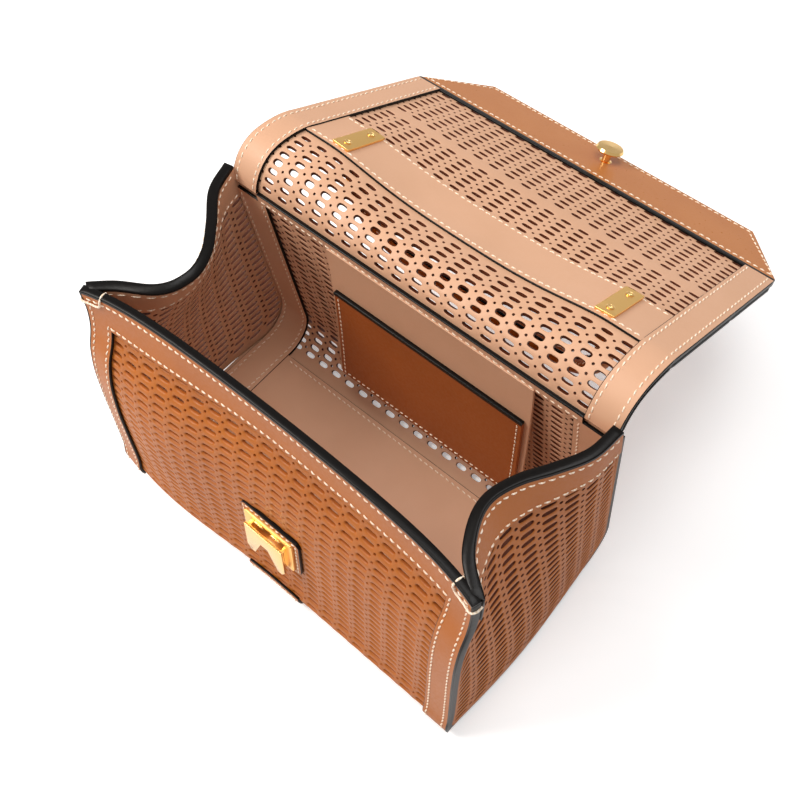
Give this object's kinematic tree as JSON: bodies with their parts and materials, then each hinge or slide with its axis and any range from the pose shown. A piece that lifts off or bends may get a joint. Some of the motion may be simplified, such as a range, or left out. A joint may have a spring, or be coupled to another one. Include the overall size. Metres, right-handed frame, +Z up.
{
  "type": "flap bag",
  "caption": "Structured top-handle flap bag in two-tone perforated leather with gold-tone lock, shown with its flap open",
  "frame": {"origin": "centre of the flat base, on the face it rests on", "axes": "+X across the bag's width, +Y from its front to its back, +Z up"},
  "size_m": [0.2765, 0.3402, 0.1722],
  "materials": {
    "leather_perforated": "smooth, punched with slots and dots",
    "leather_brown": "smooth, with black painted cut edges",
    "leather_beige": "smooth natural lining leather",
    "leather_pocket": "smooth dark tan",
    "leather_end": "smooth tan",
    "edge_paint": "glossy painted edge",
    "thread_cream": "waxed saddle thread",
    "brass_satin": "satin",
    "brass_polished": "polished"
  },
  "bodies": {
    "root": {"front_panel": "leather_perforated", "front_border": "leather_brown", "front_tab": "leather_brown", "corner_thread_left": "thread_cream", "corner_thread_right": "thread_cream", "gusset_left": "leather_perforated", "gusset_band_left": "leather_brown", "gusset_right": "leather_perforated", "gusset_band_right": "leather_brown", "back_panel": "leather_perforated", "gusset_binding_left": "leather_beige", "gusset_binding_right": "leather_beige", "base_insert": "leather_beige", "hinge_strip": "leather_beige", "pocket_back": "leather_beige", "pocket_front": "leather_pocket", "lock_backing": "leather_brown", "lock_base_plate": "brass_satin", "lock_front_plate": "brass_satin", "lock_rivets": "brass_polished"},
    "flap_back": {"flap_bend": "leather_beige", "bend_band_left": "leather_beige", "bend_band_right": "leather_beige"},
    "flap": {"flap_panel": "leather_beige", "flap_band_left": "leather_beige", "flap_band_right": "leather_beige", "handle_strip": "leather_beige", "counter_plate_left": "brass_satin", "counter_plate_right": "brass_satin", "plate_screws": "brass_polished", "handle_bracket_left": "brass_satin", "handle_bracket_right": "brass_satin"},
    "flap_front": {"flap_front_panel": "leather_beige", "flap_front_band_left": "leather_beige", "flap_front_band_right": "leather_beige", "flap_piping": "edge_paint", "flap_end_piece": "leather_end", "stud": "brass_polished"},
    "handle": {"handle_end_left": "brass_satin", "handle_end_right": "brass_satin", "handle_grip": "leather_brown"}
  },
  "joints": [
    {"name": "flap_hinge", "type": "hinge", "parent": "root", "child": "flap_back", "pos_m": [0, 0.0653, 0.1619], "axis": [1, 0, 0], "range_deg": [0, 163.87], "deforming": ["flap_bend", "bend_band_left", "bend_band_right"]},
    {"name": "flap_roll", "type": "hinge", "parent": "flap_back", "child": "flap", "pos_m": [0, 0.1071, 0.1666], "axis": [1, 0, 0], "range_deg": [0, 44.13]},
    {"name": "flap_fold", "type": "hinge", "parent": "flap", "child": "flap_front", "pos_m": [0, 0.17244, 0.13386], "axis": [1, 0, 0], "range_deg": [0, 72]},
    {"name": "handle_swing", "type": "hinge", "parent": "flap", "child": "handle", "pos_m": [0, 0.11749, 0.14767], "axis": [1, 0, 0], "range_deg": [-28, 50]}
  ],
  "couplings": [
    {"joint": "flap_roll", "follows": "flap_hinge", "ratio": 0.26932}
  ]
}
